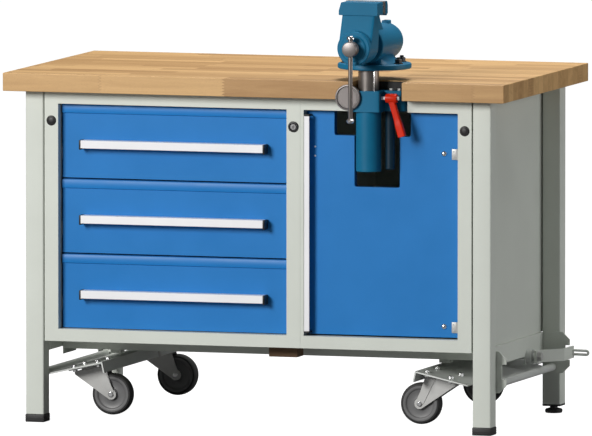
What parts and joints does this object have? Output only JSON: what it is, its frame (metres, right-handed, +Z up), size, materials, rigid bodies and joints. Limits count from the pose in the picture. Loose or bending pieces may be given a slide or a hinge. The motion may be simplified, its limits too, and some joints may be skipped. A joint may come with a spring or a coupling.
{
  "type": "workbench with drawers",
  "caption": "Workbench with a beech top, a drawer cabinet, a cupboard, a bench vice on a height-adjustable lift and lever-lowered castors.",
  "frame": {"origin": "on the floor, under the centre of the whole object's bounding box", "axes": "+X to the right seen from the front, +Y from the front to the back, +Z up"},
  "size_m": [1.2716, 0.831, 1.033],
  "materials": {
    "beech": "oiled, satin",
    "light_grey_paint": "satin powder coat",
    "blue_paint": "satin powder coat",
    "petrol_paint": "semi-gloss",
    "steel": "turned",
    "zinc_plate": "zinc plated",
    "aluminium": "anodised",
    "black_plastic": "matte",
    "grey_plastic": "matte",
    "red_plastic": "satin",
    "brown_wood": "raw"
  },
  "bodies": {
    "bench": {"worktop": "beech", "leg_front_left": "light_grey_paint", "leg_front_right": "light_grey_paint", "leg_back_left": "light_grey_paint", "leg_back_right": "light_grey_paint", "foot_cap_front_left": "black_plastic", "foot_cap_front_right": "black_plastic", "foot_cap_back_left": "black_plastic", "foot_cap_back_right": "black_plastic", "side_beam_left": "light_grey_paint", "side_beam_right": "light_grey_paint", "cross_beam_front": "light_grey_paint", "cross_beam_back": "light_grey_paint", "lever_bracket_front": "light_grey_paint", "lever_bracket_back": "light_grey_paint", "support_block": "brown_wood", "drawer_cabinet": "light_grey_paint", "door_cabinet": "light_grey_paint", "cover_plug_left": "black_plastic", "cover_plug_right": "black_plastic", "cupboard_shelf": "light_grey_paint", "hinge_rod_left": "steel", "hinge_rod_right": "steel", "lift_body": "petrol_paint", "side_cap": "steel"},
    "foot_left": {"levelling_foot_left": "black_plastic"},
    "foot_right": {"levelling_foot_right": "black_plastic"},
    "drawer_1": {"drawer_front_1": "blue_paint", "drawer_handle_1": "aluminium", "drawer_tray_1": "light_grey_paint"},
    "drawer_2": {"drawer_front_2": "blue_paint", "drawer_handle_2": "aluminium", "drawer_tray_2": "light_grey_paint"},
    "drawer_3": {"drawer_front_3": "blue_paint", "drawer_handle_3": "aluminium", "drawer_tray_3": "light_grey_paint"},
    "lock": {"drawer_lock": "steel"},
    "door": {"cupboard_door": "blue_paint", "door_handle": "aluminium", "hinge_leaf_lower": "zinc_plate", "hinge_leaf_upper": "zinc_plate"},
    "lever": {"lever_shaft": "steel", "lever_arm": "light_grey_paint"},
    "carriage_left": {"carriage_left": "zinc_plate"},
    "carriage_right": {"carriage_right": "zinc_plate"},
    "fork_front_left": {"castor_fork_front_left": "zinc_plate"},
    "fork_front_right": {"castor_fork_front_right": "zinc_plate"},
    "fork_back_left": {"castor_fork_back_left": "zinc_plate"},
    "fork_back_right": {"castor_fork_back_right": "zinc_plate"},
    "wheel_front_left": {"castor_wheel_front_left": "grey_plastic"},
    "wheel_front_right": {"castor_wheel_front_right": "grey_plastic"},
    "wheel_back_left": {"castor_wheel_back_left": "grey_plastic"},
    "wheel_back_right": {"castor_wheel_back_right": "grey_plastic"},
    "ram": {"lift_ram": "steel"},
    "vice": {"vice_foot": "petrol_paint", "vice_body": "petrol_paint"},
    "jaw": {"vice_jaw": "petrol_paint"},
    "screw": {"vice_screw": "steel"},
    "tommy_bar": {"tommy_bar": "steel"},
    "clamp": {"clamp_lever": "red_plastic"}
  },
  "joints": [
    {"name": "drawer_1_slide", "type": "slide", "parent": "bench", "child": "drawer_1", "axis": [0, -1, 0], "range_m": [0, 0.45]},
    {"name": "drawer_2_slide", "type": "slide", "parent": "bench", "child": "drawer_2", "axis": [0, -1, 0], "range_m": [0, 0.45]},
    {"name": "drawer_3_slide", "type": "slide", "parent": "bench", "child": "drawer_3", "axis": [0, -1, 0], "range_m": [0, 0.45]},
    {"name": "door_swing", "type": "hinge", "parent": "bench", "child": "door", "pos_m": [0.4845, -0.226, 0.496], "axis": [0, 0, 1], "range_deg": [0, 105]},
    {"name": "lock_turn", "type": "hinge", "parent": "bench", "child": "lock", "pos_m": [0.079, -0.2465, 0.725], "axis": [0, 1, 0], "range_deg": [0, 90]},
    {"name": "foot_left_turn", "type": "hinge", "parent": "bench", "child": "foot_left", "pos_m": [-0.5695, 0.351, 0], "axis": [0, 0, 1], "continuous": true},
    {"name": "foot_right_turn", "type": "hinge", "parent": "bench", "child": "foot_right", "pos_m": [0.5475, 0.351, 0], "axis": [0, 0, 1], "continuous": true},
    {"name": "lever_turn", "type": "hinge", "parent": "bench", "child": "lever", "pos_m": [-0.011, 0.1975, 0.149], "axis": [1, 0, 0], "range_deg": [0, 80]},
    {"name": "carriage_left_tilt", "type": "hinge", "parent": "bench", "child": "carriage_left", "pos_m": [-0.575, 0, 0.113], "axis": [0, 1, 0], "range_deg": [0, 12.81]},
    {"name": "carriage_right_tilt", "type": "hinge", "parent": "bench", "child": "carriage_right", "pos_m": [0.553, 0, 0.113], "axis": [0, -1, 0], "range_deg": [0, 12.81]},
    {"name": "castor_front_left_swivel", "type": "hinge", "parent": "carriage_left", "child": "fork_front_left", "pos_m": [-0.45094, -0.1685, 0.13114], "axis": [-0.2215, 0, 0.9751], "continuous": true},
    {"name": "castor_back_left_swivel", "type": "hinge", "parent": "carriage_left", "child": "fork_back_left", "pos_m": [-0.45094, 0.3385, 0.13114], "axis": [-0.2215, 0, 0.9751], "continuous": true},
    {"name": "castor_front_right_swivel", "type": "hinge", "parent": "carriage_right", "child": "fork_front_right", "pos_m": [0.42894, -0.1685, 0.13114], "axis": [0.2215, 0, 0.9751], "continuous": true},
    {"name": "castor_back_right_swivel", "type": "hinge", "parent": "carriage_right", "child": "fork_back_right", "pos_m": [0.42894, 0.3385, 0.13114], "axis": [0.2215, 0, 0.9751], "continuous": true},
    {"name": "wheel_front_left_spin", "type": "hinge", "parent": "fork_front_left", "child": "wheel_front_left", "pos_m": [-0.39715, -0.1685, 0.06593], "axis": [0, 1, 0], "continuous": true},
    {"name": "wheel_back_left_spin", "type": "hinge", "parent": "fork_back_left", "child": "wheel_back_left", "pos_m": [-0.39715, 0.3385, 0.06593], "axis": [0, 1, 0], "continuous": true},
    {"name": "wheel_front_right_spin", "type": "hinge", "parent": "fork_front_right", "child": "wheel_front_right", "pos_m": [0.37515, -0.1685, 0.06593], "axis": [0, 1, 0], "continuous": true},
    {"name": "wheel_back_right_spin", "type": "hinge", "parent": "fork_back_right", "child": "wheel_back_right", "pos_m": [0.37515, 0.3385, 0.06593], "axis": [0, 1, 0], "continuous": true},
    {"name": "lift_slide", "type": "slide", "parent": "bench", "child": "ram", "axis": [0, 0, 1], "range_m": [-0.025, 0.125]},
    {"name": "vice_swivel", "type": "hinge", "parent": "ram", "child": "vice", "pos_m": [0.27, -0.2575, 0.867], "axis": [0, 0, 1], "range_deg": [-70, 70]},
    {"name": "clamp_lever_turn", "type": "hinge", "parent": "bench", "child": "clamp", "pos_m": [0.3, -0.2725, 0.801], "axis": [-1, 0, 0], "range_deg": [0, 100]},
    {"name": "jaw_slide", "type": "slide", "parent": "vice", "child": "jaw", "axis": [0, -1, 0], "range_m": [-0.0001, 0.1202]},
    {"name": "screw_turn", "type": "hinge", "parent": "jaw", "child": "screw", "pos_m": [0.27, -0.4035, 0.926], "axis": [0, -1, 0], "range_deg": [0, 5400]},
    {"name": "tommy_bar_slide", "type": "slide", "parent": "screw", "child": "tommy_bar", "axis": [0, 0, 1], "range_m": [0, 0.14]}
  ],
  "couplings": [
    {"joint": "carriage_left_tilt", "follows": "lever_turn", "ratio": 0.16},
    {"joint": "carriage_right_tilt", "follows": "lever_turn", "ratio": 0.16},
    {"joint": "jaw_slide", "follows": "screw_turn", "m_per_rad": 0.0012732}
  ]
}
